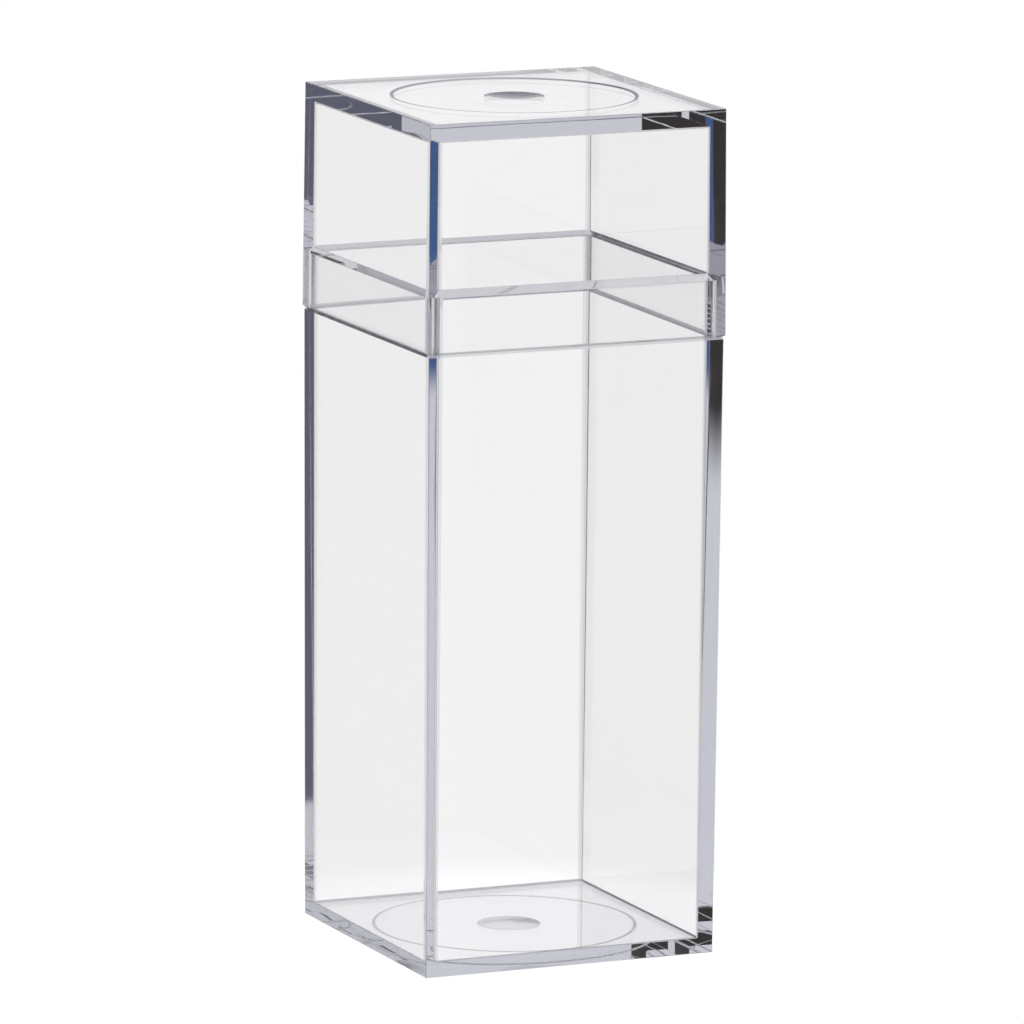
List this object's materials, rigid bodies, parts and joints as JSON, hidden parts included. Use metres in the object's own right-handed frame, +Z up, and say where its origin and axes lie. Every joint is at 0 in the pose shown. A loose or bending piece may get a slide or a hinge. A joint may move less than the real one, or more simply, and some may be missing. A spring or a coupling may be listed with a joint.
{
  "type": "storage box with lid",
  "caption": "Tall square clear plastic storage box with a thin neck at its mouth and a deep lift-off lid that seats on its shoulder.",
  "frame": {"origin": "centre of the box's square footprint, on the surface it stands on", "axes": "+Z up out of the box's mouth, which is the way the lid lifts; +X and +Y square to the side walls"},
  "size_m": [0.0576, 0.0576, 0.153],
  "materials": {
    "clear_acrylic": "clear, polished, water-white moulded plastic"
  },
  "bodies": {
    "box": {"box": "clear_acrylic"},
    "lid": {"lid": "clear_acrylic"}
  },
  "joints": [
    {"name": "lid_lift", "type": "slide", "parent": "box", "child": "lid", "axis": [0, 0, 1], "range_m": [0, 0.03]}
  ]
}
